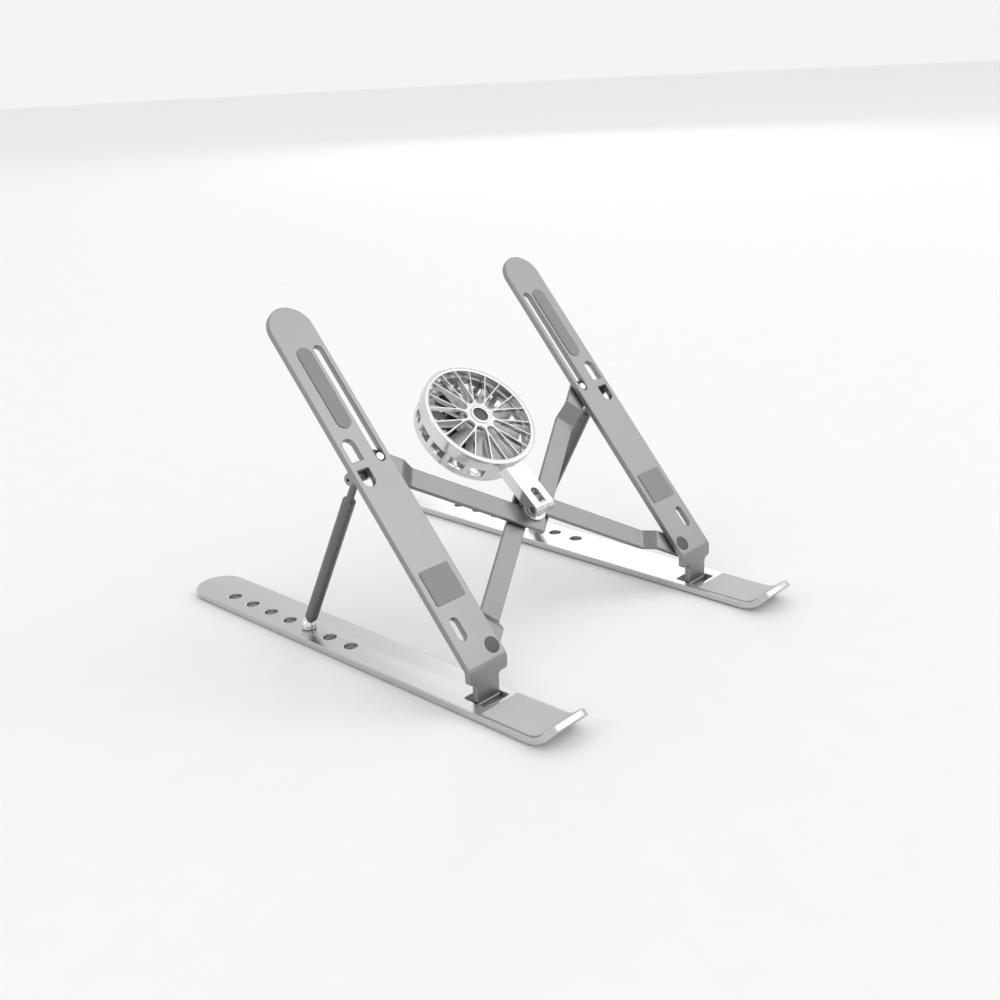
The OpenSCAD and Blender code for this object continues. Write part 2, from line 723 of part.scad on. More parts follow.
left_rail();
right_rail();
left_rail_pad();
right_rail_pad();
left_rail_feet();
right_rail_feet();
left_hinge_pin();
right_hinge_pin();
left_arm();
right_arm();
left_square_pad();
right_square_pad();
left_long_pad();
right_long_pad();
left_strut_pin();
right_strut_pin();
left_strut();
right_strut();
left_strut_ball();
right_strut_ball();
cross_bar_a();
cross_bar_b();
left_slider_pin();
right_slider_pin();
left_corner_rivet();
right_corner_rivet();
cross_washer();
fan_post();
cross_rivet();
fan_hinge_pin();
fan_bracket();
front_grille();
fan_housing();
rear_cover();
impeller();
hub_cap();
magnet_ring();
motor_stator();
motor_shaft();
motor_bearing();
circuit_board();
usb_socket();
cover_screws();
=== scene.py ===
"""Folding laptop cooling pad: the visible meshes, finishes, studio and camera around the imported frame.

Sizes are in millimetres in each class and become metres when a piece is placed. The row frame is +X to the
user's right, +Y to the rear, +Z up, with the rubber feet on the floor.
"""

from __future__ import annotations

import logging
import math
from collections.abc import Callable, Iterable, Sequence
from dataclasses import dataclass
from enum import Enum

import bmesh
import bpy
from mathutils import Matrix, Vector

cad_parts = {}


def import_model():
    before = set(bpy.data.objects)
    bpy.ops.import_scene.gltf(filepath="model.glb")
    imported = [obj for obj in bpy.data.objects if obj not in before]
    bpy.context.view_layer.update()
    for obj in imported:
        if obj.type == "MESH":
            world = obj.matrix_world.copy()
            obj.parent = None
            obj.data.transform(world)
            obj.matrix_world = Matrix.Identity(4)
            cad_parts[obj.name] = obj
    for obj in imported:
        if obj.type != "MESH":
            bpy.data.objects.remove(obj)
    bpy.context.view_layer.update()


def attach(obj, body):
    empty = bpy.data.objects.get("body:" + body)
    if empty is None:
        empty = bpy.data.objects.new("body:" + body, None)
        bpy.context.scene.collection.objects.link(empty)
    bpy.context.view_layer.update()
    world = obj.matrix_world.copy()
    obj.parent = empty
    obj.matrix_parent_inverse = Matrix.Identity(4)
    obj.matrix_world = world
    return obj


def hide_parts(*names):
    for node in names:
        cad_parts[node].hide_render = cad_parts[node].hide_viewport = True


LOG = logging.getLogger("cooling_pad")
MM = 0.001
Point2 = tuple[float, float]
Loop = list[Point2]
Step = tuple[float, float, float, float, int]
COAT_ROUGH = 0.12
CLOUD_SCALE = 28.0
FINE_SHARE = 0.65
GRAIN_LOW, GRAIN_HIGH = 0.3, 0.7
BUMP_DEPTH = 0.0002


class Side(Enum):
    """The two mirrored halves of the stand, as seen by the user."""

    LEFT = "left"
    RIGHT = "right"

    @property
    def place(self) -> Matrix:
        """The matrix that puts a part drawn for the right side on this side."""
        return Matrix.Scale(-1, 4, (1, 0, 0)) if self is Side.LEFT else Matrix.Identity(4)


class Lay(Enum):
    """Which way the grain of a brushed finish runs."""

    RAIL = 0.0
    ARM = 49.6
    FAN = 41.0


# ---------------------------------------------------------------- finishes


@dataclass(frozen=True)
class Finish:
    """A metal, rubber or plastic finish with fine grain in its colour, gloss and surface.

    The grain is noise on object coordinates, drawn out along the brushing direction.
    """

    name: str
    slot: str
    colour: tuple[float, float, float]
    rough: float
    metallic: float = 0.0
    tint: float = 0.06
    grain: tuple[float, float, float] = (900.0, 900.0, 900.0)
    lay: Lay = Lay.RAIL
    bump: float = 0.02
    rough_swing: float = 0.06
    coat: float = 0.0
    anisotropic: float = 0.0

    def build(self) -> bpy.types.Material:
        """Makes the node material, or returns it if it is already made.

        Returns:
            The material, ready for a Set Material node or a material slot.
        """
        found = bpy.data.materials.get(self.name)
        if found is not None:
            return found
        material = bpy.data.materials.new(self.name)
        material.use_nodes = True
        nodes, links = material.node_tree.nodes, material.node_tree.links
        shader = nodes["Principled BSDF"]
        shader.inputs["Metallic"].default_value = self.metallic
        shader.inputs["Coat Weight"].default_value = self.coat
        shader.inputs["Coat Roughness"].default_value = COAT_ROUGH
        shader.inputs["Anisotropic"].default_value = self.anisotropic
        coordinates = nodes.new("ShaderNodeTexCoord")
        mapping = nodes.new("ShaderNodeMapping")
        mapping.inputs["Rotation"].default_value = (-math.radians(self.lay.value), 0, 0)
        mapping.inputs["Scale"].default_value = self.grain
        links.new(coordinates.outputs["Object"], mapping.inputs["Vector"])
        fine = self._noise(nodes, links, mapping.outputs["Vector"], 1.0, 3.0)
        cloud = self._noise(nodes, links, coordinates.outputs["Object"], CLOUD_SCALE, 2.0)
        mixed = nodes.new("ShaderNodeMath")
        mixed.operation = "MULTIPLY_ADD"
        mixed.inputs[1].default_value = FINE_SHARE
        links.new(fine, mixed.inputs[0])
        softened = nodes.new("ShaderNodeMath")
        softened.operation = "MULTIPLY"
        softened.inputs[1].default_value = 1 - FINE_SHARE
        links.new(cloud, softened.inputs[0])
        links.new(softened.outputs[0], mixed.inputs[2])
        ramp = nodes.new("ShaderNodeValToRGB")
        dark, pale = ramp.color_ramp.elements
        dark.position, pale.position = GRAIN_LOW, GRAIN_HIGH
        dark.color = (*[c * (1 - self.tint) for c in self.colour], 1)
        pale.color = (*[min(1.0, c * (1 + self.tint)) for c in self.colour], 1)
        links.new(mixed.outputs[0], ramp.inputs["Fac"])
        links.new(ramp.outputs["Color"], shader.inputs["Base Color"])
        gloss = nodes.new("ShaderNodeMapRange")
        gloss.inputs["From Min"].default_value = GRAIN_LOW
        gloss.inputs["From Max"].default_value = GRAIN_HIGH
        gloss.inputs["To Min"].default_value = max(0.02, self.rough - self.rough_swing)
        gloss.inputs["To Max"].default_value = self.rough + self.rough_swing
        links.new(mixed.outputs[0], gloss.inputs["Value"])
        links.new(gloss.outputs["Result"], shader.inputs["Roughness"])
        bump = nodes.new("ShaderNodeBump")
        bump.inputs["Strength"].default_value = self.bump
        bump.inputs["Distance"].default_value = BUMP_DEPTH
        links.new(fine, bump.inputs["Height"])
        links.new(bump.outputs["Normal"], shader.inputs["Normal"])
        return material

    @staticmethod
    def _noise(nodes: bpy.types.Nodes, links: bpy.types.NodeLinks, vector: bpy.types.NodeSocket,
               scale: float, detail: float) -> bpy.types.NodeSocket:
        """Adds a noise texture.

        Args:
            nodes: The material's nodes.
            links: The material's links.
            vector: The coordinates it reads.
            scale: Its scale.
            detail: Its detail.

        Returns:
            The socket with the noise value.
        """
        noise = nodes.new("ShaderNodeTexNoise")
        noise.inputs["Scale"].default_value = scale
        noise.inputs["Detail"].default_value = detail
        links.new(vector, noise.inputs["Vector"])
        return noise.outputs[0]


RAIL_METAL = Finish("rail_polished_aluminium", "polished_aluminium", (0.56, 0.56, 0.57), 0.30, 1.0, 0.04,
                    (1500, 40, 1500), Lay.RAIL, 0.03, 0.05, anisotropic=0.3)
ARM_METAL = Finish("arm_satin_aluminium", "satin_aluminium", (0.31, 0.31, 0.31), 0.40, 0.95, 0.05,
                   (1600, 60, 1600), Lay.ARM, 0.04, 0.05)
BAR_METAL = Finish("bar_satin_aluminium", "bar_aluminium", (0.25, 0.25, 0.252), 0.38, 0.95, 0.05,
                   (1400, 1400, 1400), Lay.ARM, 0.03, 0.05)
PALE_PAD = Finish("front_pad_silicone", "pale_silicone", (0.52, 0.52, 0.515), 0.62, 0.0, 0.05,
                  (2600, 2600, 2600), Lay.RAIL, 0.12, 0.08)
GREY_PAD = Finish("arm_pad_silicone", "grey_silicone", (0.27, 0.27, 0.27), 0.68, 0.0, 0.07,
                  (2600, 2600, 2600), Lay.ARM, 0.14, 0.08)
FOOT_RUBBER = Finish("foot_rubber", "black_rubber", (0.035, 0.035, 0.036), 0.75, 0.0, 0.10,
                     (2200, 2200, 2200), Lay.RAIL, 0.16, 0.08)
ROD = Finish("strut_dark_anodised", "dark_anodised", (0.17, 0.165, 0.16), 0.38, 0.85, 0.08,
             (900, 900, 900), Lay.RAIL, 0.03, 0.06)
POLISHED = Finish("polished_steel", "steel", (0.78, 0.78, 0.79), 0.14, 1.0, 0.03,
                  (700, 700, 700), Lay.RAIL, 0.01, 0.04)
DARK_CAP = Finish("dark_cap_steel", "dark_steel", (0.09, 0.092, 0.09), 0.40, 0.5, 0.08,
                  (1200, 1200, 1200), Lay.ARM, 0.03, 0.06)
PLATED = Finish("fan_bright_plate", "bright_plate", (0.72, 0.72, 0.73), 0.19, 1.0, 0.03,
                (500, 500, 500), Lay.FAN, 0.015, 0.05)
BLADE = Finish("blade_silver_plastic", "silver_plastic", (0.62, 0.62, 0.63), 0.30, 0.55, 0.04,
               (500, 500, 500), Lay.FAN, 0.02, 0.05, coat=0.3)
MAGNET = Finish("magnet_ferrite", "magnet", (0.05, 0.05, 0.05), 0.55, 0.3, 0.10)
WINDING = Finish("stator_winding", "copper_core", (0.55, 0.24, 0.10), 0.35, 0.8, 0.12,
                 (300, 300, 4200), Lay.FAN, 0.20, 0.06)
BRONZE = Finish("bearing_bronze", "bronze", (0.52, 0.36, 0.15), 0.45, 0.9, 0.10)
BOARD = Finish("board_lacquer", "board", (0.035, 0.04, 0.04), 0.35, 0.0, 0.25, (400, 400, 400), Lay.FAN, 0.05)


# ---------------------------------------------------------------- outlines and meshes


def arc(cx: float, cy: float, r: float, a0: float, a1: float, step: float = 9.0) -> Loop:
    """Points on an arc, both ends included.

    Args:
        cx: Centre across.
        cy: Centre along.
        r: Radius.
        a0: First angle in degrees.
        a1: Last angle in degrees.
        step: Largest step between points in degrees.

    Returns:
        The points in order.
    """
    count = max(2, math.ceil(abs(a1 - a0) / step))
    angles = [math.radians(a0 + (a1 - a0) * i / count) for i in range(count + 1)]
    return [(cx + r * math.cos(a), cy + r * math.sin(a)) for a in angles]


def circle(cx: float, cy: float, r: float) -> Loop:
    """A full circle, anticlockwise."""
    return arc(cx, cy, r, 0, 360, 7.5)[:-1]


def rounded_box(cx: float, cy: float, w: float, l: float, r: float) -> Loop:
    """A rectangle with round corners, anticlockwise.

    Args:
        cx: Centre across.
        cy: Centre along.
        w: Width across.
        l: Length along.
        r: Corner radius.

    Returns:
        The loop.
    """
    x, y = w / 2 - r, l / 2 - r
    corners = [(cx + x, cy + y, 0), (cx - x, cy + y, 90), (cx - x, cy - y, 180), (cx + x, cy - y, 270)]
    return [p for px, py, a in corners for p in arc(px, py, r, a, a + 90)]


def oblong(x: float, s0: float, s1: float, r: float) -> Loop:
    """A slot with round ends between two places along the part.

    Args:
        x: Its middle across.
        s0: Its lower end.
        s1: Its upper end.
        r: Half of its width.

    Returns:
        The loop, anticlockwise.
    """
    return arc(x, s1 - r, r, 0, 180) + arc(x, s0 + r, r, 180, 360)


def area(loop: Loop) -> float:
    """Twice the signed area of a loop: above zero if it runs anticlockwise."""
    return sum(a[0] * b[1] - b[0] * a[1] for a, b in zip(loop, loop[1:] + loop[:1]))


def tidy(loop: Loop, hole: bool) -> Loop:
    """Drops doubled points and turns the loop so that the material is on its left.

    Args:
        loop: The loop.
        hole: True for a hole.

    Returns:
        The cleaned loop.
    """
    kept = [p for i, p in enumerate(loop) if math.dist(p, loop[i - 1]) > 1e-4]
    return kept[::-1] if (area(kept) > 0) == hole else kept


def inset(loop: Loop, by: float) -> Loop:
    """Moves a loop into the material.

    Args:
        loop: A loop with the material on its left.
        by: How far.

    Returns:
        The moved loop, point for point.
    """
    moved = []
    for i, (x, y) in enumerate(loop):
        (ax, ay), (bx, by_) = loop[i - 1], loop[(i + 1) % len(loop)]
        first = Vector((ay - y, x - ax)).normalized()
        second = Vector((y - by_, bx - x)).normalized()
        turn = (first + second) / max(0.3, 1 + first.dot(second))
        moved.append((x + turn.x * by, y + turn.y * by))
    return moved


def plate(outer: Loop, holes: Sequence[Loop] = (), low: float = 0.0, high: float = 1.0,
          edge: float = 0.3) -> bmesh.types.BMesh:
    """A flat plate with rounded edges all round its outline and holes.

    Args:
        outer: Its outline.
        holes: The outlines of its holes.
        low: Height of its lower face.
        high: Height of its upper face.
        edge: Radius of its edges.

    Returns:
        The closed mesh.
    """
    mesh = bmesh.new()
    rounds = [(edge * (1 - math.sin(a)), edge * (1 - math.cos(a))) for a in (0, math.pi / 4, math.pi / 2)]
    levels = [(e, low + h) for e, h in rounds] + [(e, high - h) for e, h in reversed(rounds)]
    caps: dict[float, list[bmesh.types.BMEdge]] = {low: [], high: []}
    for loop in [tidy(outer, False)] + [tidy(h, True) for h in holes]:
        rings = [[mesh.verts.new((x, y, z)) for x, y in inset(loop, e)] for e, z in levels]
        count = len(loop)
        for below, above in zip(rings, rings[1:]):
            for i in range(count):
                j = (i + 1) % count
                mesh.faces.new((below[i], below[j], above[j], above[i]))
        for ring, level in ((rings[0], low), (rings[-1], high)):
            caps[level] += [mesh.edges.get((ring[i], ring[(i + 1) % count])) for i in range(count)]
    for level, edges in caps.items():
        bmesh.ops.triangle_fill(mesh, use_beauty=True, use_dissolve=False, edges=edges,
                                normal=(0, 0, -1 if level == low else 1))
    return mesh


def cut_across(mesh: bmesh.types.BMesh, places: Iterable[float], normal: Vector = Vector((0, 1, 0))) -> None:
    """Cuts a mesh into strips, so that it can bend.

    Args:
        mesh: The mesh.
        places: Where each cut lies along the normal.
        normal: The direction that the cuts face.
    """
    for place in places:
        bmesh.ops.bisect_plane(mesh, geom=mesh.verts[:] + mesh.edges[:] + mesh.faces[:], dist=1e-5,
                               plane_co=normal * place, plane_no=normal)


def turned(profile: Loop, closed: bool = True, count: int = 96) -> bmesh.types.BMesh:
    """A body of revolution about Z.

    Args:
        profile: Radius and height of each point of its section.
        closed: True if the section closes on itself, false if it starts and ends on the axis.
        count: Number of steps round the axis.

    Returns:
        The closed mesh.
    """
    mesh = bmesh.new()
    angles = [2 * math.pi * i / count for i in range(count)]
    rings = [[mesh.verts.new((0, 0, h))] if r < 1e-6 else
             [mesh.verts.new((r * math.cos(a), r * math.sin(a), h)) for a in angles] for r, h in profile]
    pairs = list(zip(rings, rings[1:])) + ([(rings[-1], rings[0])] if closed else [])
    for below, above in pairs:
        for i in range(count):
            j = (i + 1) % count
            corners = [ring[k % len(ring)] for ring, k in ((below, i), (below, j), (above, j), (above, i))]
            face = list(dict.fromkeys(corners))
            if len(face) > 2:
                mesh.faces.new(face)
    return mesh


def disc(r: float, low: float, high: float, edge: float = 0.25, count: int = 96) -> bmesh.types.BMesh:
    """A solid disc about Z with rounded rims.

    Args:
        r: Radius.
        low: Height of its lower face.
        high: Height of its upper face.
        edge: Radius of the rims.
        count: Number of steps round.

    Returns:
        The mesh.
    """
    profile = ([(0.0, low)] + arc(r - edge, low + edge, edge, -90, 0, 22.5)
               + arc(r - edge, high - edge, edge, 0, 90, 22.5) + [(0.0, high)])
    return turned(profile, False, count)


def collar(outer: float, inner: float, low: float, high: float, edge: float = 0.3,
           count: int = 96) -> bmesh.types.BMesh:
    """A ring about Z with rounded edges.

    Args:
        outer: Outer radius.
        inner: Inner radius.
        low: Height of its lower face.
        high: Height of its upper face.
        edge: Radius of the edges.
        count: Number of steps round.

    Returns:
        The mesh.
    """
    middle, height = (outer + inner) / 2, (low + high) / 2
    return turned(rounded_box(middle, height, outer - inner, high - low, edge), True, count)


def joined(*meshes: bmesh.types.BMesh) -> bmesh.types.BMesh:
    """Puts several meshes in one and frees the rest.

    Args:
        *meshes: The meshes.

    Returns:
        The one mesh.
    """
    whole = bmesh.new()
    for mesh in meshes:
        data = bpy.data.meshes.new("joined")
        mesh.to_mesh(data)
        whole.from_mesh(data)
        bpy.data.meshes.remove(data)
        mesh.free()
    return whole


def moved(mesh: bmesh.types.BMesh, matrix: Matrix) -> bmesh.types.BMesh:
    """Moves a mesh and returns it."""
    bmesh.ops.transform(mesh, matrix=matrix, verts=mesh.verts)
    return mesh


def stacked(steps: Iterable[Step]) -> bmesh.types.BMesh:
    """Several discs about Z in one mesh, each given as radius, low, high, edge and count."""
    return joined(*[disc(*step) for step in steps])


def lying(mesh: bmesh.types.BMesh, centre: tuple[float, float, float] = (0, 0, 0)) -> bmesh.types.BMesh:
    """Lays a mesh made about Z along X, with its middle at a point."""
    return moved(mesh, Matrix.Translation(centre) @ Matrix.Rotation(math.radians(90), 4, "Y"))


def warped(mesh: bmesh.types.BMesh, shape: Callable[[Vector], Vector]) -> bmesh.types.BMesh:
    """Sends each point of a mesh through a function.

    Args:
        mesh: The mesh.
        shape: Gives the new place of a point.

    Returns:
        The same mesh.
    """
    for vertex in mesh.verts:
        vertex.co = shape(vertex.co)
    return mesh


@dataclass(frozen=True)
class Piece:
    """A visible piece: its name, the body it moves with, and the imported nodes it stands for."""

    name: str
    body: str
    nodes: tuple[str, ...]
    finish: Finish
    sharp: float = 17.0

    def make(self, mesh: bmesh.types.BMesh, place: Matrix) -> bpy.types.Object:
        """Turns a mesh in millimetres into the finished piece.

        Args:
            mesh: The mesh, which is freed.
            place: From the mesh's own frame to the row frame, in millimetres.

        Returns:
            The piece, riding on its body.
        """
        bmesh.ops.transform(mesh, matrix=Matrix.Scale(MM, 4) @ place, verts=mesh.verts)
        bmesh.ops.remove_doubles(mesh, verts=mesh.verts, dist=1e-7)
        bmesh.ops.recalc_face_normals(mesh, faces=mesh.faces)
        data = bpy.data.meshes.new(self.name)
        mesh.to_mesh(data)
        mesh.free()
        data.materials.append(self.finish.build())
        return self.adopt(data)

    def adopt(self, data: bpy.types.Mesh) -> bpy.types.Object:
        """Makes the object for a finished mesh in the row frame and hands it to the frame.

        Args:
            data: The mesh in metres.

        Returns:
            The piece, riding on its body.
        """
        data.shade_smooth()
        data.set_sharp_from_angle(angle=math.radians(self.sharp))
        piece = bpy.data.objects.new(self.name, data)
        bpy.context.scene.collection.objects.link(piece)
        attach(piece, self.body)
        if self.nodes:
            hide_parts(*self.nodes)
        LOG.info("%s: %d faces on %s", self.name, len(data.polygons), self.body)
        return piece


@dataclass(frozen=True)
class RingArray:
    """Repeats a small mesh round an axis with Geometry Nodes."""

    name: str
    count: int
    radius: float
    turn: float = 0.0
    spread: float = 360.0

    def tree(self) -> bpy.types.NodeTree:
        """Builds the node tree.

        Returns:
            The tree, with inputs for count, radius, turn, spread and material.
        """
        tree = bpy.data.node_groups.new(self.name + "_nodes", "GeometryNodeTree")
        face = tree.interface
        face.new_socket("Geometry", in_out="INPUT", socket_type="NodeSocketGeometry")
        for label, kind in (("Count", "NodeSocketInt"), ("Radius", "NodeSocketFloat"),
                            ("Turn", "NodeSocketFloat"), ("Spread", "NodeSocketFloat"),
                            ("Material", "NodeSocketMaterial")):
            face.new_socket(label, in_out="INPUT", socket_type=kind)
        face.new_socket("Geometry", in_out="OUTPUT", socket_type="NodeSocketGeometry")
        nodes, links = tree.nodes, tree.links
        given, result = nodes.new("NodeGroupInput"), nodes.new("NodeGroupOutput")
        points, index = nodes.new("GeometryNodePoints"), nodes.new("GeometryNodeInputIndex")
        links.new(given.outputs["Count"], points.inputs["Count"])

        def math_node(kind: str, first: bpy.types.NodeSocket, second: bpy.types.NodeSocket | None = None
                      ) -> bpy.types.NodeSocket:
            """Adds a math node.

            Args:
                kind: Its operation.
                first: What its first input reads.
                second: What its second input reads, if it has one.

            Returns:
                The socket with its result.
            """
            node = nodes.new("ShaderNodeMath")
            node.operation = kind
            links.new(first, node.inputs[0])
            if second is not None:
                links.new(second, node.inputs[1])
            return node.outputs[0]

        share = math_node("DIVIDE", index.outputs[0], given.outputs["Count"])
        swept = math_node("MULTIPLY", share, given.outputs["Spread"])
        angle = math_node("ADD", swept, given.outputs["Turn"])
        across = math_node("MULTIPLY", math_node("COSINE", angle), given.outputs["Radius"])
        along = math_node("MULTIPLY", math_node("SINE", angle), given.outputs["Radius"])
        spot, spin = nodes.new("ShaderNodeCombineXYZ"), nodes.new("ShaderNodeCombineXYZ")
        links.new(across, spot.inputs["X"])
        links.new(along, spot.inputs["Y"])
        links.new(angle, spin.inputs["Z"])
        links.new(spot.outputs[0], points.inputs["Position"])
        rotation = nodes.new("FunctionNodeEulerToRotation")
        links.new(spin.outputs[0], rotation.inputs[0])
        copies = nodes.new("GeometryNodeInstanceOnPoints")
        links.new(points.outputs[0], copies.inputs["Points"])
        links.new(given.outputs["Geometry"], copies.inputs["Instance"])
        links.new(rotation.outputs[0], copies.inputs["Rotation"])
        real, dress = nodes.new("GeometryNodeRealizeInstances"), nodes.new("GeometryNodeSetMaterial")
        links.new(copies.outputs[0], real.inputs[0])
        links.new(real.outputs[0], dress.inputs["Geometry"])
        links.new(given.outputs["Material"], dress.inputs["Material"])
        links.new(dress.outputs[0], result.inputs[0])
        return tree

    def repeat(self, unit: bmesh.types.BMesh, finish: Finish) -> bmesh.types.BMesh:
        """Runs the tree on one unit and returns the plain result.

        Args:
            unit: The mesh that is repeated, in millimetres, which is freed.
            finish: The finish that the tree sets.

        Returns:
            The whole ring of copies, in millimetres.
        """
        data = bpy.data.meshes.new(self.name)
        unit.to_mesh(data)
        unit.free()
        holder = bpy.data.objects.new(self.name, data)
        bpy.context.scene.collection.objects.link(holder)
        tree = self.tree()
        modifier = holder.modifiers.new("array", "NODES")
        modifier.node_group = tree
        values = {"Count": self.count, "Radius": self.radius, "Turn": math.radians(self.turn),
                  "Spread": math.radians(self.spread), "Material": finish.build()}
        for item in tree.interface.items_tree:
            if item.in_out == "INPUT" and item.name in values:
                modifier[item.identifier] = values[item.name]
        graph = bpy.context.evaluated_depsgraph_get()
        made = bpy.data.meshes.new_from_object(holder.evaluated_get(graph), depsgraph=graph)
        holder.modifiers.remove(modifier)
        bpy.data.objects.remove(holder)
        whole = bmesh.new()
        whole.from_mesh(made)
        bpy.data.meshes.remove(made)
        return whole


def edged_copy(node: str, piece: Piece, edge: float = 0.3, limit: float = 40.0) -> bpy.types.Object:
    """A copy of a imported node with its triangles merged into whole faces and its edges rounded.

    Args:
        node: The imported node.
        piece: What the copy becomes.
        edge: Width of the rounding.
        limit: Edges sharper than this, in degrees, are rounded.

    Returns:
        The piece.
    """
    mesh = bmesh.new()
    mesh.from_mesh(bpy.data.objects[node].data)
    bmesh.ops.remove_doubles(mesh, verts=mesh.verts, dist=2e-6)
    bmesh.ops.dissolve_limit(mesh, angle_limit=math.radians(0.5), verts=mesh.verts, edges=mesh.edges)
    sharp = [e for e in mesh.edges if len(e.link_faces) == 2 and e.calc_face_angle(0) > math.radians(limit)]
    bmesh.ops.bevel(mesh, geom=sharp, offset=edge * MM, segments=2, profile=0.5, affect="EDGES",
                    clamp_overlap=True)
    return piece.make(mesh, Matrix.Scale(1 / MM, 4))


# ---------------------------------------------------------------- places


@dataclass(frozen=True)
class Slope:
    """A sloping plane hinged about X: across, up the slope, and square to it."""

    y: float
    z: float
    angle: float

    @property
    def matrix(self) -> Matrix:
        """From the sloping frame to the row frame, in millimetres."""
        return Matrix.Translation((0, self.y, self.z)) @ Matrix.Rotation(math.radians(self.angle), 4, "X")

    def point(self, x: float, s: float, n: float) -> Vector:
        """A point of the sloping frame in the row frame, in millimetres."""
        return self.matrix @ Vector((x, s, n))


ARM_SLOPE = Slope(-76.9, 2.4, 49.6)
FAN_PIN = ARM_SLOPE.point(0, 64.5, 10.4)
FAN_SLOPE = Slope(FAN_PIN.y, FAN_PIN.z, 41.0)


# ---------------------------------------------------------------- sub-assemblies


@dataclass(frozen=True)
class BaseRail:
    """A base rail with its curled lip, height holes, hinge slot, grip pad, feet and hinge pin."""

    side: Side
    x: float = 77.9
    width: float = 25.2
    thick: float = 3.2
    top: float = 4.0
    rear: float = 125.0
    bend_y: float = -109.896
    bend_r: float = 14.0
    bend_angle: float = 50.0
    lip_end: float = 3.0
    hole_x: float = 81.5
    hole_r: float = 3.2
    holes: tuple[float, ...] = (95.0, 80.0, 65.0, 50.0, 35.0, 20.0, 5.0)
    hinge_y: float = -76.9
    slot: tuple[float, float, float] = (76.6, 14.1, 12.5)
    edge: float = 0.45
    corner: float = 5.5
    pad_width: float = 22.2
    pad_rear: float = -85.55
    pad_proud: float = 0.5
    pad_inset: float = 1.6
    pad_corner: float = 4.2
    pad_edge: float = 0.22
    bend_cuts: int = 20
    feet: tuple[tuple[float, float, float, float], ...] = (
        (77.9, -97.72, 15, 18), (71.3, 20, 8, 90), (77.9, 109, 15, 16))
    foot_corner: float = 3.0
    foot_height: float = 1.0
    pin_r: float = 1.0
    pin_half: float = 9.9

    @property
    def body(self) -> str:
        """The body that the rail is."""
        return f"{self.side.value}_base"

    @property
    def middle_r(self) -> float:
        """Radius of the bend at the middle of the sheet."""
        return self.bend_r + self.thick / 2

    @property
    def bend_run(self) -> float:
        """Length of sheet in the bend."""
        return self.middle_r * math.radians(self.bend_angle)

    def curled(self, co: Vector) -> Vector:
        """Bends the flat sheet up into the lip.

        Args:
            co: A point of the flat sheet, with its height over the sheet's middle.

        Returns:
            Its place in the row frame.
        """
        run = self.bend_y - co.y
        if run <= 0:
            return Vector((co.x, co.y, self.top - self.thick / 2 + co.z))
        turn = min(run / self.middle_r, math.radians(self.bend_angle))
        past = max(0.0, run - self.bend_run)
        r = self.middle_r - co.z
        y = self.bend_y - r * math.sin(turn) - past * math.cos(turn)
        z = self.top + self.bend_r - r * math.cos(turn) + past * math.sin(turn)
        return Vector((co.x, y, z))

    def outline(self, width: float, front: float, rear: float, corner: float, round_rear: bool) -> Loop:
        """The flat outline of the rail or of its pad.

        Args:
            width: Its width.
            front: Its front end, along the unrolled sheet.
            rear: Its rear end.
            corner: Radius of the front corners.
            round_rear: True if the rear end is a half circle.

        Returns:
            The loop.
        """
        half = width / 2
        nose = (arc(self.x - half + corner, front + corner, corner, 180, 270)
                + arc(self.x + half - corner, front + corner, corner, 270, 360))
        if round_rear:
            return nose + arc(self.x, rear - half, half, 0, 180, 5)
        right, left = self.x + half - 1, self.x - half + 1
        return nose + arc(right, rear - 1, 1, 0, 90) + arc(left, rear - 1, 1, 90, 180)

    def build(self) -> None:
        """Makes every piece of the rail."""
        name, place = self.side.value, self.side.place
        front = self.bend_y - self.bend_run - self.lip_end
        stations = [self.bend_y - self.bend_run * i / self.bend_cuts for i in range(self.bend_cuts + 1)]
        slot_x, slot_w, slot_l = self.slot
        holes = [circle(self.hole_x, y, self.hole_r) for y in self.holes]
        holes.append(rounded_box(slot_x, self.hinge_y, slot_w, slot_l, 0.9))
        half = self.thick / 2
        sheet = plate(self.outline(self.width, front, self.rear, self.corner, True), holes,
                      -half, half, self.edge)
        cut_across(sheet, stations)
        Piece(f"{name}_rail_sheet", self.body, (f"{name}_rail",), RAIL_METAL).make(
            warped(sheet, self.curled), place)
        pad_front = front + self.pad_inset
        pad = plate(self.outline(self.pad_width, pad_front, self.pad_rear, self.pad_corner, False), (),
                    half - 0.1, half + self.pad_proud, self.pad_edge)
        cut_across(pad, stations)
        Piece(f"{name}_front_grip", self.body, (f"{name}_rail_pad",), PALE_PAD).make(
            warped(pad, self.curled), place)
        feet = [plate(rounded_box(*foot, self.foot_corner), (), 0, self.foot_height, 0.25)
                for foot in self.feet]
        Piece(f"{name}_foot_pads", self.body, (f"{name}_rail_feet",), FOOT_RUBBER).make(joined(*feet), place)
        pin = lying(disc(self.pin_r, -self.pin_half, self.pin_half, 0.2, 48),
                    (slot_x, self.hinge_y, self.top - half))
        Piece(f"{name}_hinge_rod", self.body, (f"{name}_hinge_pin",), POLISHED).make(pin, place)


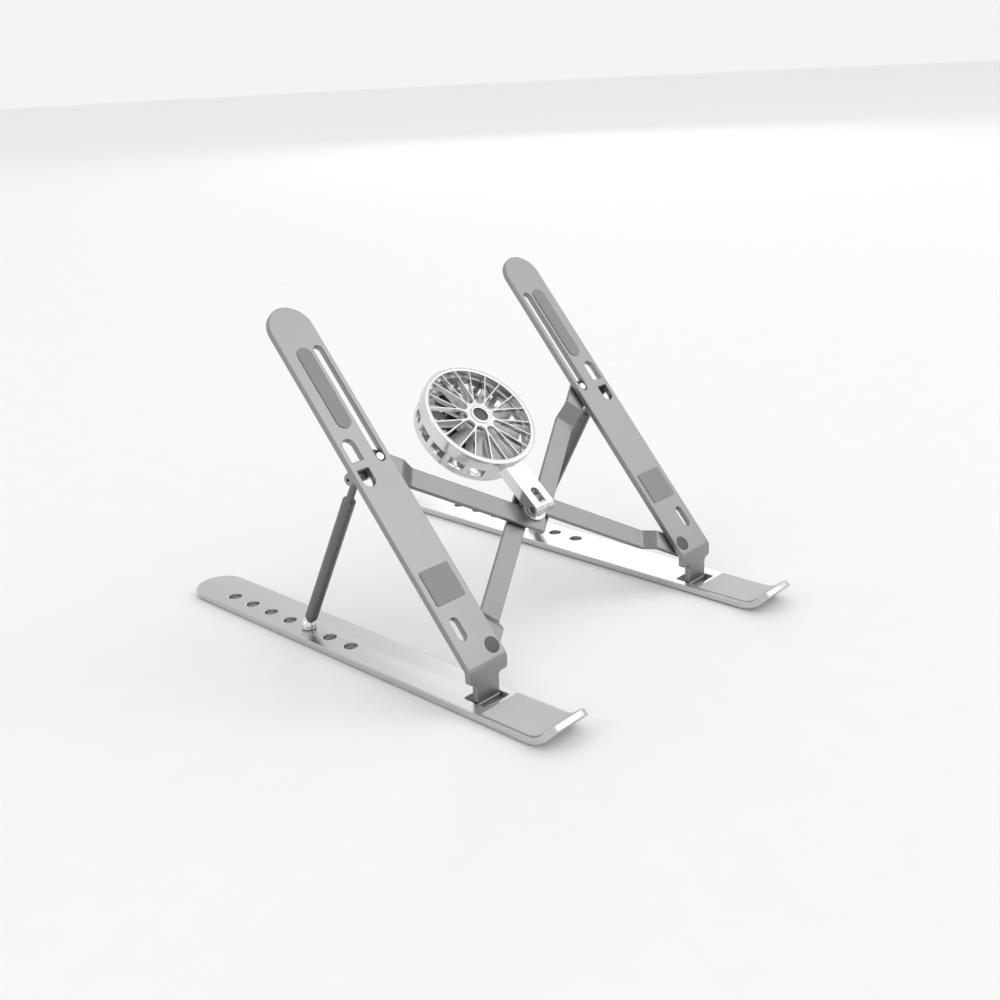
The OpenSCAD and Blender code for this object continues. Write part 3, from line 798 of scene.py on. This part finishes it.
@dataclass(frozen=True)
class SupportArm:
    """A sloping arm: bent sheet with slots, hinge tab and barrel, lugs for its strut, and its pads."""

    side: Side
    x: float = 75.8
    width: float = 22.8
    thick: float = 3.0
    top: float = 12.4
    tip: float = 192.0
    tab_x: float = 76.6
    tab_width: float = 13.3
    barrel_r: float = 2.0
    bend_y: float = 2.5
    bend_z: float = 15.898
    bend_s: float = 13.727
    shoulder_z: float = 10.898
    shoulder_r: float = 1.6
    root_r: float = 2.0
    edge: float = 0.4
    slider_slot: tuple[float, float, float, float] = (69.2, 110.4, 170.3, 2.2)
    small_slot: tuple[float, float, float, float] = (80.6, 25.2, 35.8, 2.2)
    strut_x: float = 81.5
    strut_slot_r: float = 3.1
    strut_slot: tuple[float, float] = (104.3, 121.5)
    bridge: tuple[float, float] = (109.6, 113.8)
    strut_pivot: tuple[float, float] = (109.1, 6.2)
    lug_r: float = 2.6
    lug_thick: float = 1.7
    lug_places: tuple[float, float] = (76.4, 84.9)
    square_pad: tuple[float, float] = (50.7, 16.4)
    long_pad: tuple[float, float, float, float] = (77.3, 129.4, 170.9, 3.8)
    pad_proud: float = 0.5
    pad_edge: float = 0.18
    pin_r: float = 1.0
    pin_half: float = 5.1
    rivet: tuple[float, float] = (69.2, 18.4)
    rivet_steps: tuple[Step, ...] = ((3.75, 11.4, 12.6, 0.3, 96), (1.9, 9.2, 11.6, 0.1, 48),
                                     (1.5, 6.0, 9.4, 0.1, 48), (3.4, 5.9, 6.7, 0.3, 96))

    @property
    def body(self) -> str:
        """The body that the arm is."""
        return f"{self.side.value}_arm_body"

    @property
    def bend_run(self) -> float:
        """Length of sheet in the bend, at its middle."""
        return self.bend_y * math.radians(90 - ARM_SLOPE.angle)

    def along(self, z: float) -> float:
        """Where a height of the upright tab lies along the unrolled sheet."""
        return self.bend_s - self.bend_run - (self.bend_z - z)

    def bent(self, co: Vector) -> Vector:
        """Bends the flat sheet into the arm's slope and its upright tab.

        Args:
            co: A point of the flat sheet, with its height over the sheet's middle.

        Returns:
            Its place in the row frame.
        """
        middle = self.top - self.thick / 2
        if co.y >= self.bend_s:
            return ARM_SLOPE.point(co.x, co.y, middle + co.z)
        run = self.bend_s - co.y
        if run >= self.bend_run:
            return Vector((co.x, ARM_SLOPE.y - co.z, ARM_SLOPE.z + self.bend_z - (run - self.bend_run)))
        turn = math.radians(90 + ARM_SLOPE.angle) + run / self.bend_y
        r = self.bend_y + co.z
        return Vector((co.x, ARM_SLOPE.y + self.bend_y + r * math.cos(turn),
                       ARM_SLOPE.z + self.bend_z + r * math.sin(turn)))

    def outline(self) -> Loop:
        """Draws the unrolled arm: tab, round shoulders, straight sides and round tip.

        Returns:
            The loop.
        """
        half, tab = self.width / 2, self.tab_width / 2
        low, shoulder, root, r = self.along(0), self.along(self.shoulder_z), self.root_r, self.shoulder_r
        right = (arc(self.tab_x + tab + root, shoulder - root, root, 180, 90)
                 + arc(self.x + half - r, shoulder + r, r, 270, 360))
        left = (arc(self.x - half + r, shoulder + r, r, 180, 270)
                + arc(self.tab_x - tab - root, shoulder - root, root, 90, 0))
        return ([(self.tab_x - tab, low), (self.tab_x + tab, low)] + right
                + arc(self.x, self.tip - half, half, 0, 180, 5) + left)

    def build(self) -> None:
        """Makes every piece of the arm."""
        name, place = self.side.value, self.side.place
        x, r = self.strut_x, self.strut_slot_r
        (low, high), (under, over) = self.strut_slot, self.bridge
        holes = [oblong(*self.slider_slot), oblong(*self.small_slot),
                 arc(x, low, r, 180, 360) + [(x + r, under), (x - r, under)],
                 [(x - r, over), (x + r, over)] + arc(x, high, r, 0, 180)]
        half = self.thick / 2
        sheet = plate(self.outline(), holes, -half, half, self.edge)
        cut_across(sheet, [self.bend_s - self.bend_run * i / 8 for i in range(9)])
        warped(sheet, self.bent)
        barrel = lying(disc(self.barrel_r, -self.tab_width / 2, self.tab_width / 2, 0.25, 48),
                       (self.tab_x, ARM_SLOPE.y, ARM_SLOPE.z))
        side_on = Matrix(((0, 0, 1, 0), (1, 0, 0, 0), (0, 1, 0, 0), (0, 0, 0, 1)))
        (pivot_s, pivot_n), lug_r, lug_top = self.strut_pivot, self.lug_r, self.top - self.thick + 0.2
        lug = ([(pivot_s - lug_r, lug_top), (pivot_s - lug_r, pivot_n)]
               + arc(pivot_s, pivot_n, lug_r, 180, 360) + [(pivot_s + lug_r, lug_top)])
        lugs = [moved(plate(lug, (), place_x, place_x + self.lug_thick, 0.25), ARM_SLOPE.matrix @ side_on)
                for place_x in self.lug_places]
        Piece(f"{name}_arm_sheet", self.body, (f"{name}_arm",), ARM_METAL).make(
            joined(sheet, barrel, *lugs), place)
        on_arm = place @ ARM_SLOPE.matrix
        pad_low, pad_high = self.top - 0.2, self.top + self.pad_proud
        pad_s, pad_size = self.square_pad
        square = plate(rounded_box(self.x, pad_s, pad_size, pad_size, 0.8), (),
                       pad_low, pad_high, self.pad_edge)
        Piece(f"{name}_square_grip", self.body, (f"{name}_square_pad",), GREY_PAD).make(square, on_arm)
        strip = plate(oblong(*self.long_pad), (), pad_low, pad_high, self.pad_edge)
        Piece(f"{name}_long_grip", self.body, (f"{name}_long_pad",), GREY_PAD).make(strip, on_arm)
        pin = lying(disc(self.pin_r, -self.pin_half, self.pin_half, 0.2, 48),
                    (self.strut_x, pivot_s, pivot_n))
        Piece(f"{name}_strut_rod", self.body, (f"{name}_strut_pin",), POLISHED).make(pin, on_arm)
        rivet = moved(stacked(self.rivet_steps), Matrix.Translation((*self.rivet, 0)))
        Piece(f"{name}_cap_rivet", self.body, (f"{name}_corner_rivet",), DARK_CAP).make(rivet, on_arm)


class Bar(Enum):
    """The two crossed bars: A lies over B and runs from upper left to lower right."""

    A = "a"
    B = "b"


@dataclass(frozen=True)
class CrossedBar:
    """One crossed bar: a stepped strip with both ends cranked up to the arms, and its sliding pin."""

    which: Bar
    top: float
    run: float = 83.62
    turn: float = 37.72
    width: float = 10.0
    thick: float = 2.1
    end_top: float = 9.0
    middle_s: float = 65.6
    overlap: float = 7.0
    crank: tuple[float, float] = (63.62, 71.62)
    soft: float = 0.22
    corner: float = 1.5
    hole_r: float = 2.55
    edge: float = 0.35
    stud: tuple[float, float] = (69.2, 112.8)
    stud_steps: tuple[Step, ...] = ((3.2, 6.1, 6.9, 0.3, 96), (1.5, 6.5, 9.2, 0.1, 48),
                                    (1.9, 9.0, 12.1, 0.35, 48))

    @property
    def side(self) -> Side:
        """The side on which the bar's upper end lies."""
        return Side.LEFT if self.which is Bar.A else Side.RIGHT

    def cranked(self, co: Vector) -> Vector:
        """Lifts the ends of the strip to the arms over two soft bends.

        Args:
            co: A point of the straight strip.

        Returns:
            Its place in the sloping frame.
        """
        start, stop = self.crank
        t = min(1.0, max(0.0, (abs(co.x) - start) / (stop - start)))
        soft, slope = self.soft, 1 / (1 - self.soft)
        if t < soft:
            share = slope * t * t / (2 * soft)
        elif t < 1 - soft:
            share = slope * (t - soft / 2)
        else:
            share = 1 - slope * (1 - t) ** 2 / (2 * soft)
        return Vector((co.x, co.y, co.z + share * (self.end_top - self.top)))

    def outline(self) -> Loop:
        """Draws the strip: each half lies to one side of the pivot.

        Returns:
            The loop.
        """
        w, r, o, c = self.width, self.width / 2, self.overlap, self.corner
        half = ([(o, 0.0)] + arc(self.run, r, r, -90, 90)
                + arc(-o + c, w - c, c, 90, 180) + [(-o, 0.0)])
        return half + [(-x, -y) for x, y in half]

    def build(self) -> None:
        """Makes the bar and its pin."""
        letter, body = self.which.value, f"bar_{self.which.value}_body"
        mirror = Matrix.Identity(4) if self.which is Bar.A else Matrix.Scale(-1, 4, (1, 0, 0))
        across = Matrix.Translation((0, self.middle_s, 0)) @ Matrix.Rotation(math.radians(-self.turn), 4, "Z")
        strip = plate(self.outline(), [circle(0, 0, self.hole_r)], self.top - self.thick, self.top,
                      self.edge)
        start, stop = self.crank
        cuts = [start + (stop - start) * i / 16 for i in range(17)]
        cut_across(strip, cuts + [-c for c in cuts], Vector((1, 0, 0)))
        Piece(f"cross_bar_{letter}_strip", body, (f"cross_bar_{letter}",), BAR_METAL).make(
            warped(strip, self.cranked), ARM_SLOPE.matrix @ mirror @ across)
        name = self.side.value
        stud = moved(stacked(self.stud_steps), Matrix.Translation((*self.stud, 0)))
        Piece(f"{name}_slider_stud", body, (f"{name}_slider_pin",), POLISHED).make(
            stud, self.side.place @ ARM_SLOPE.matrix)


@dataclass(frozen=True)
class Strut:
    """A round strut with a flat-sided eye, a thin neck and a polished ball foot."""

    side: Side
    pivot: tuple[float, float, float] = (81.5, 109.1, 6.2)
    foot_y: float = 35.0
    ball_r: float = 3.75
    hole_r: float = 3.2
    rail_top: float = 4.0
    ball_clear: float = 0.06
    shaft_r: float = 3.0
    groove_r: float = 2.8
    neck_r: float = 1.9
    shank_r: float = 1.7
    eye_r: float = 2.6

    def build(self) -> None:
        """Makes the rod and its ball."""
        name, body = self.side.value, f"{self.side.value}_strut_body"
        top = ARM_SLOPE.point(*self.pivot)
        ball_z = self.rail_top + math.sqrt(self.ball_r**2 - self.hole_r**2) + self.ball_clear
        foot = Vector((self.pivot[0], self.foot_y, ball_z))
        length = (foot - top).length
        lean = math.atan2(foot.y - top.y, top.z - foot.z)
        frame = self.side.place @ Matrix.Translation(top) @ Matrix.Rotation(math.pi + lean, 4, "X")
        end = length - self.ball_r - 1.2
        shaft, groove, neck, shank = self.shaft_r, self.groove_r, self.neck_r, self.shank_r
        profile = ([(0.0, 1.0), (shank, 1.0), (shank, 12.2)] + arc(2.3, 12.2, 0.6, 180, 130)[1:]
                   + arc(2.4, 14.1, 0.6, -30, 0)
                   + [(shaft, 17.0), (groove, 17.2), (groove, 17.6), (shaft, 17.8)]
                   + [(shaft, end - 4.4), (groove, end - 4.2), (groove, end - 3.8), (shaft, end - 3.6)]
                   + arc(2.5, end - 0.5, 0.5, 0, 90) + [(neck, end), (neck, end + 2.2), (0.0, end + 2.4)])
        eye = lying(disc(self.eye_r, -3.0, 3.0, 0.3, 48))
        Piece(f"{name}_strut_rod_body", body, (f"{name}_strut",), ROD).make(
            joined(turned(profile, False, 48), eye), frame)
        globe = [(self.ball_r * math.cos(math.radians(a)), self.ball_r * math.sin(math.radians(a)))
                 for a in range(-90, 91, 6)]
        globe[0], globe[-1] = (0.0, -self.ball_r), (0.0, self.ball_r)
        Piece(f"{name}_ball_foot", body, (f"{name}_strut_ball",), POLISHED).make(
            moved(turned(globe, False, 64), Matrix.Translation((0, 0, length))), frame)


@dataclass(frozen=True)
class FanMount:
    """The post on the bars' pivot, its rivet and washer, the hinge pin and the fan's forked bracket."""

    pivot_s: float = 65.6
    rivet_steps: tuple[Step, ...] = ((4.2, -1.0, -0.1, 0.35, 96), (1.0, -0.2, 2.8, 0.1, 48))
    washer: tuple[float, float, float, float, float] = (5.0, 2.6, 2.45, 2.85, 0.1)
    pin_r: float = 1.5
    pin_half: float = 5.8

    def build(self) -> None:
        """Makes every piece of the mount."""
        edged_copy("fan_post", Piece("pivot_post", "fan_post_body", ("fan_post",), PLATED), 0.25)
        edged_copy("fan_bracket", Piece("forked_bracket", "fan_body", ("fan_bracket",), PLATED), 0.45)
        at_pivot = ARM_SLOPE.matrix @ Matrix.Translation((0, self.pivot_s, 0))
        Piece("pivot_rivet", "fan_post_body", ("cross_rivet",), POLISHED).make(
            stacked(self.rivet_steps), at_pivot)
        Piece("pivot_washer", "fan_post_body", ("cross_washer",), DARK_CAP).make(
            collar(*self.washer), at_pivot)
        pin = lying(disc(self.pin_r, -self.pin_half, self.pin_half, 0.35, 48))
        Piece("fan_hinge_rod", "fan_post_body", ("fan_hinge_pin",), DARK_CAP).make(pin, FAN_SLOPE.matrix)


@dataclass(frozen=True)
class FanHead:
    """The round fan: ring with radial ribs, hub, impeller, vented housing, rear cover and motor."""

    reach: float = 52.7
    ring_r: float = 29.3
    ring_inner: float = 26.7
    front: float = 5.7
    rear: float = -10.3
    housing_r: float = 27.7
    bowl_r: float = 25.9
    seat_top: float = 1.7
    rib_count: int = 20
    rib_size: tuple[float, float] = (15.9, 0.7)
    rib_depth: tuple[float, float] = (2.95, 5.35)
    rib_at: tuple[float, float] = (19.2, 2.3)
    rib_lean: float = 13.7
    blade_count: int = 11
    window_count: int = 16
    window_low: float = -7.1
    window_height: float = 4.4
    post_width: float = 3.0
    shut_from: tuple[float, float] = (67.5, 247.5)
    shut_span: float = 45.0
    web_tip: float = 12.6
    web_depth: tuple[float, float] = (3.6, 5.2)
    prong_half: float = 4.6
    hub_bore: float = 4.4
    bay_at: float = 9.6
    bay_r: float = 2.35
    impeller_top: float = 2.7
    blade_size: tuple[float, float] = (16.8, 8.0)
    blade_sweep: float = 0.006
    blade_camber: float = 0.035
    blade_at: float = 16.2
    blade_pitch: float = 36.0
    screw_count: int = 4
    screw_at: float = 23.7

    @property
    def place(self) -> Matrix:
        """From the fan's own frame, about its axis, to the row frame."""
        return FAN_SLOPE.matrix @ Matrix.Translation((0, self.reach, 0))

    def rim(self) -> bmesh.types.BMesh:
        """Turns the front ring: a tall outer wall, a round front edge and a stepped seat on the housing.

        Returns:
            The ring.
        """
        o, i, f = self.ring_r, self.ring_inner, self.front
        section = ([(self.housing_r, -0.2), (self.housing_r + 0.3, -0.5), (o - 0.3, -0.5), (o, -0.2)]
                   + arc(o - 0.7, f - 0.7, 0.7, 0, 90, 15) + arc(i + 0.4, f - 0.4, 0.4, 90, 180, 15)
                   + [(i, self.seat_top + 0.2), (i + 0.2, self.seat_top), (self.housing_r, self.seat_top)])
        return turned(section, True, 144)

    def ribs(self) -> bmesh.types.BMesh:
        """Makes a pair of thin ribs that fork from one prong of the web and run to the ring.

        Returns:
            The pair.
        """
        pair = []
        for side in (-1, 1):
            strip = plate(rounded_box(0, 0, *self.rib_size, 0.2), (), *self.rib_depth, 0.12)
            pair.append(moved(strip, Matrix.Translation((self.rib_at[0], side * self.rib_at[1], 0))
                              @ Matrix.Rotation(side * math.radians(self.rib_lean), 4, "Z")))
        return joined(*pair)

    def web(self) -> bmesh.types.BMesh:
        """Makes the bright web round the hub: prongs with round-ended openings between them.

        Returns:
            The web.
        """
        count, tip, bay = self.rib_count // 2, self.web_tip, self.bay_at
        outline: Loop = []
        for i in range(count):
            prong, opening = 360 * i / count, 360 * (i + 0.5) / count
            outline += [(tip * math.cos(math.radians(prong + d)), tip * math.sin(math.radians(prong + d)))
                        for d in (-self.prong_half, self.prong_half)]
            middle = math.radians(opening)
            outline += arc(bay * math.cos(middle), bay * math.sin(middle), self.bay_r,
                           opening - 100, opening - 260, 14)
        return plate(outline, [circle(0, 0, self.hub_bore)], *self.web_depth, 0.25)

    def blade(self) -> bmesh.types.BMesh:
        """Makes one broad curved impeller blade, pitched and cambered.

        Returns:
            The blade.
        """
        long, deep = self.blade_size
        unit = plate(rounded_box(0, 0, long, deep, 1.6), (), -0.4, 0.4, 0.18)
        cut_across(unit, [deep * (i / 8 - 0.5) for i in range(1, 8)])
        cut_across(unit, [long * (i / 8 - 0.5) for i in range(1, 8)], Vector((1, 0, 0)))
        warped(unit, lambda co: Vector((co.x, co.y + self.blade_sweep * co.x**2,
                                        co.z - self.blade_camber * co.y**2)))
        return moved(unit, Matrix.Translation((self.blade_at, 0, self.impeller_top - deep / 2))
                     @ Matrix.Rotation(math.radians(self.blade_pitch), 4, "X"))

    def housing(self) -> bmesh.types.BMesh:
        """Makes the vented wall: an upper band, a lower band, and posts between the windows.

        Returns:
            The wall.
        """
        low, high = self.window_low, self.window_low + self.window_height
        bands = [collar(self.housing_r, self.bowl_r, high, self.seat_top, 0.25, 144),
                 collar(self.housing_r, self.bowl_r, self.rear + 1.6, low, 0.25, 144)]
        middle = (self.housing_r + self.bowl_r) / 2
        post = plate(rounded_box(0, 0, self.housing_r - self.bowl_r - 0.04, self.post_width, 0.3), (),
                     low - 0.3, high + 0.3, 0.1)
        posts = RingArray("housing_posts", self.window_count, middle).repeat(post, PLATED)
        solid = []
        for start in self.shut_from:
            stop = start + self.shut_span
            points = (arc(0, 0, self.housing_r - 0.02, start, stop, 2.5)
                      + arc(0, 0, self.bowl_r + 0.02, stop, start, 2.5))
            foot = low - 0.3 if start > 180 else low + 2.9
            solid.append(plate(points, (), foot, high + 0.3, 0.05))
        return joined(*bands, posts, *solid)

    def screw(self) -> bmesh.types.BMesh:
        """Makes one low screw head with a cross on it, and its shank.

        Returns:
            The screw.
        """
        head = disc(1.5, -0.6, 0.1, 0.22, 36)
        arms = [plate(rounded_box(0, 0, w, l, 0.1), (), -0.62, -0.45, 0.03)
                for w, l in ((1.7, 0.4), (0.4, 1.7))]
        return joined(head, disc(0.8, 0.0, 4.5, 0.1, 24), *arms)

    def build(self) -> None:
        """Makes every piece of the fan."""
        at = self.place
        ribs = RingArray("ribs", self.rib_count // 2, 0.0).repeat(self.ribs(), PLATED)
        hub = turned(arc(4.75, 5.35, 0.5, -90, 90, 15) + arc(4.15, 5.45, 0.4, 90, 180, 15)
                     + [(3.7, 3.7), (4.6, 3.7)])
        Piece("front_ring_and_ribs", "fan_body", ("front_grille",), PLATED).make(
            joined(self.rim(), ribs, self.web(), hub), at)
        cap = turned([(0.0, 3.9), (3.68, 3.9), (3.68, 4.7)] + arc(3.2, 4.7, 0.48, 0, 70, 15)
                     + [(2.4, 5.28), (1.2, 5.36), (0.0, 5.4)], False)
        Piece("hub_disc", "fan_body", ("hub_cap",), DARK_CAP).make(cap, at)
        Piece("vented_housing", "fan_body", ("fan_housing",), PLATED).make(self.housing(), at)
        edged_copy("rear_cover", Piece("vented_cover", "fan_body", ("rear_cover",), PLATED), 0.25)
        screws = RingArray("screws", self.screw_count, self.screw_at, 45.0).repeat(self.screw(), POLISHED)
        Piece("cover_screw_set", "fan_body", ("cover_screws",), POLISHED).make(
            screws, at @ Matrix.Translation((0, 0, self.rear)))
        blades = RingArray("blades", self.blade_count, 0.0).repeat(self.blade(), BLADE)
        top = self.impeller_top
        cup = turned([(0.0, top), (6.9, top)] + arc(7.4, top - 1.1, 1.1, 80, 0, 15)
                     + [(8.5, top - 8.0), (7.3, top - 8.0), (7.3, top - 1.4), (0.0, top - 1.4)], False)
        Piece("bladed_rotor", "impeller_body", ("impeller",), BLADE).make(joined(cup, blades), at)
        for node, finish in (("magnet_ring", MAGNET), ("motor_shaft", POLISHED), ("motor_stator", WINDING),
                             ("motor_bearing", BRONZE), ("circuit_board", BOARD), ("usb_socket", POLISHED)):
            self.dress(node, finish)

    @staticmethod
    def dress(node: str, finish: Finish) -> None:
        """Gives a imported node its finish.

        Args:
            node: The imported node.
            finish: Its finish.
        """
        data = bpy.data.objects[node].data
        data.materials.clear()
        data.materials.append(finish.build())
        LOG.info("%s dressed", node)


# ---------------------------------------------------------------- studio


@dataclass(frozen=True)
class Softbox:
    """A square area light aimed at the stand."""

    name: str
    place: tuple[float, float, float]
    size: float
    power: float

    def build(self, aim: Vector) -> None:
        """Adds the light.

        Args:
            aim: The point it is turned towards.
        """
        data = bpy.data.lights.new(self.name, "AREA")
        data.shape, data.size, data.energy = "SQUARE", self.size, self.power
        light = bpy.data.objects.new(self.name, data)
        light.location = self.place
        light.rotation_euler = (aim - light.location).to_track_quat("-Z", "Y").to_euler()
        light.visible_camera = False
        bpy.context.scene.collection.objects.link(light)


@dataclass(frozen=True)
class Studio:
    """The camera, a wide pale floor, soft boxes and an even surrounding light."""

    camera_place: tuple[float, float, float] = (-0.3936, -0.3944, 0.2561)
    azimuth: float = -46.19
    elevation: float = 20.17
    roll: float = -2.83
    lens: float = 43.56
    sensor: float = 36.0
    clip: tuple[float, float] = (0.01, 50.0)
    floor_reach: float = 12.0
    surround: float = 0.9
    aim: tuple[float, float, float] = (0, 0, 0.06)
    boxes: tuple[Softbox, ...] = (
        Softbox("key_box", (2.2, -1.9, 2.7), 2.2, 24.0),
        Softbox("rear_box", (2.68, 2.09, 1.3), 1.2, 8.0),
        Softbox("left_box", (-2.6, 1.0, 1.8), 1.4, 6.0),
    )

    def camera(self) -> None:
        """Adds the camera."""
        a, e, roll = (math.radians(v) for v in (self.azimuth, self.elevation, self.roll))
        back = Vector((math.sin(a) * math.cos(e), -math.cos(a) * math.cos(e), math.sin(e)))
        right = (-back).cross(Vector((0, 0, 1))).normalized()
        up = right.cross(-back)
        turned_right = math.cos(roll) * right + math.sin(roll) * up
        turned_up = -math.sin(roll) * right + math.cos(roll) * up
        data = bpy.data.cameras.new("view")
        data.lens, data.sensor_width = self.lens, self.sensor
        data.clip_start, data.clip_end = self.clip
        camera = bpy.data.objects.new("view", data)
        turn = Matrix((turned_right, turned_up, back)).transposed()
        camera.matrix_world = Matrix.Translation(self.camera_place) @ turn.to_4x4()
        bpy.context.scene.collection.objects.link(camera)
        bpy.context.scene.camera = camera

    def floor(self) -> None:
        """Adds the floor."""
        mesh = bmesh.new()
        mesh.faces.new([mesh.verts.new((x, y, 0)) for x, y in circle(0, 0, self.floor_reach)])
        data = bpy.data.meshes.new("floor")
        mesh.to_mesh(data)
        mesh.free()
        data.materials.append(Finish("floor_paper", "floor", (0.90, 0.90, 0.91), 0.85, 0.0, 0.01,
                                     (60, 60, 60), Lay.RAIL, 0.0, 0.02).build())
        floor = bpy.data.objects.new("floor", data)
        bpy.context.scene.collection.objects.link(floor)

    def light(self) -> None:
        """Adds the lights and the even surroundings."""
        world = bpy.data.worlds.new("surroundings")
        world.use_nodes = True
        background = world.node_tree.nodes["Background"]
        background.inputs["Color"].default_value = (1.0, 1.0, 1.0, 1)
        background.inputs["Strength"].default_value = self.surround
        scene = bpy.context.scene
        scene.world = world
        scene.view_settings.view_transform = "Standard"
        for box in self.boxes:
            box.build(Vector(self.aim))


def main() -> None:
    """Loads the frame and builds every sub-assembly around it."""
    logging.basicConfig(level=logging.INFO, format="%(message)s")
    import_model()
    studio = Studio()
    studio.camera()
    studio.light()
    studio.floor()
    for side in Side:
        BaseRail(side).build()
        SupportArm(side).build()
        Strut(side).build()
    CrossedBar(Bar.A, 5.0).build()
    CrossedBar(Bar.B, 2.4).build()
    FanMount().build()
    FanHead().build()


if __name__ == "__main__":
    main()
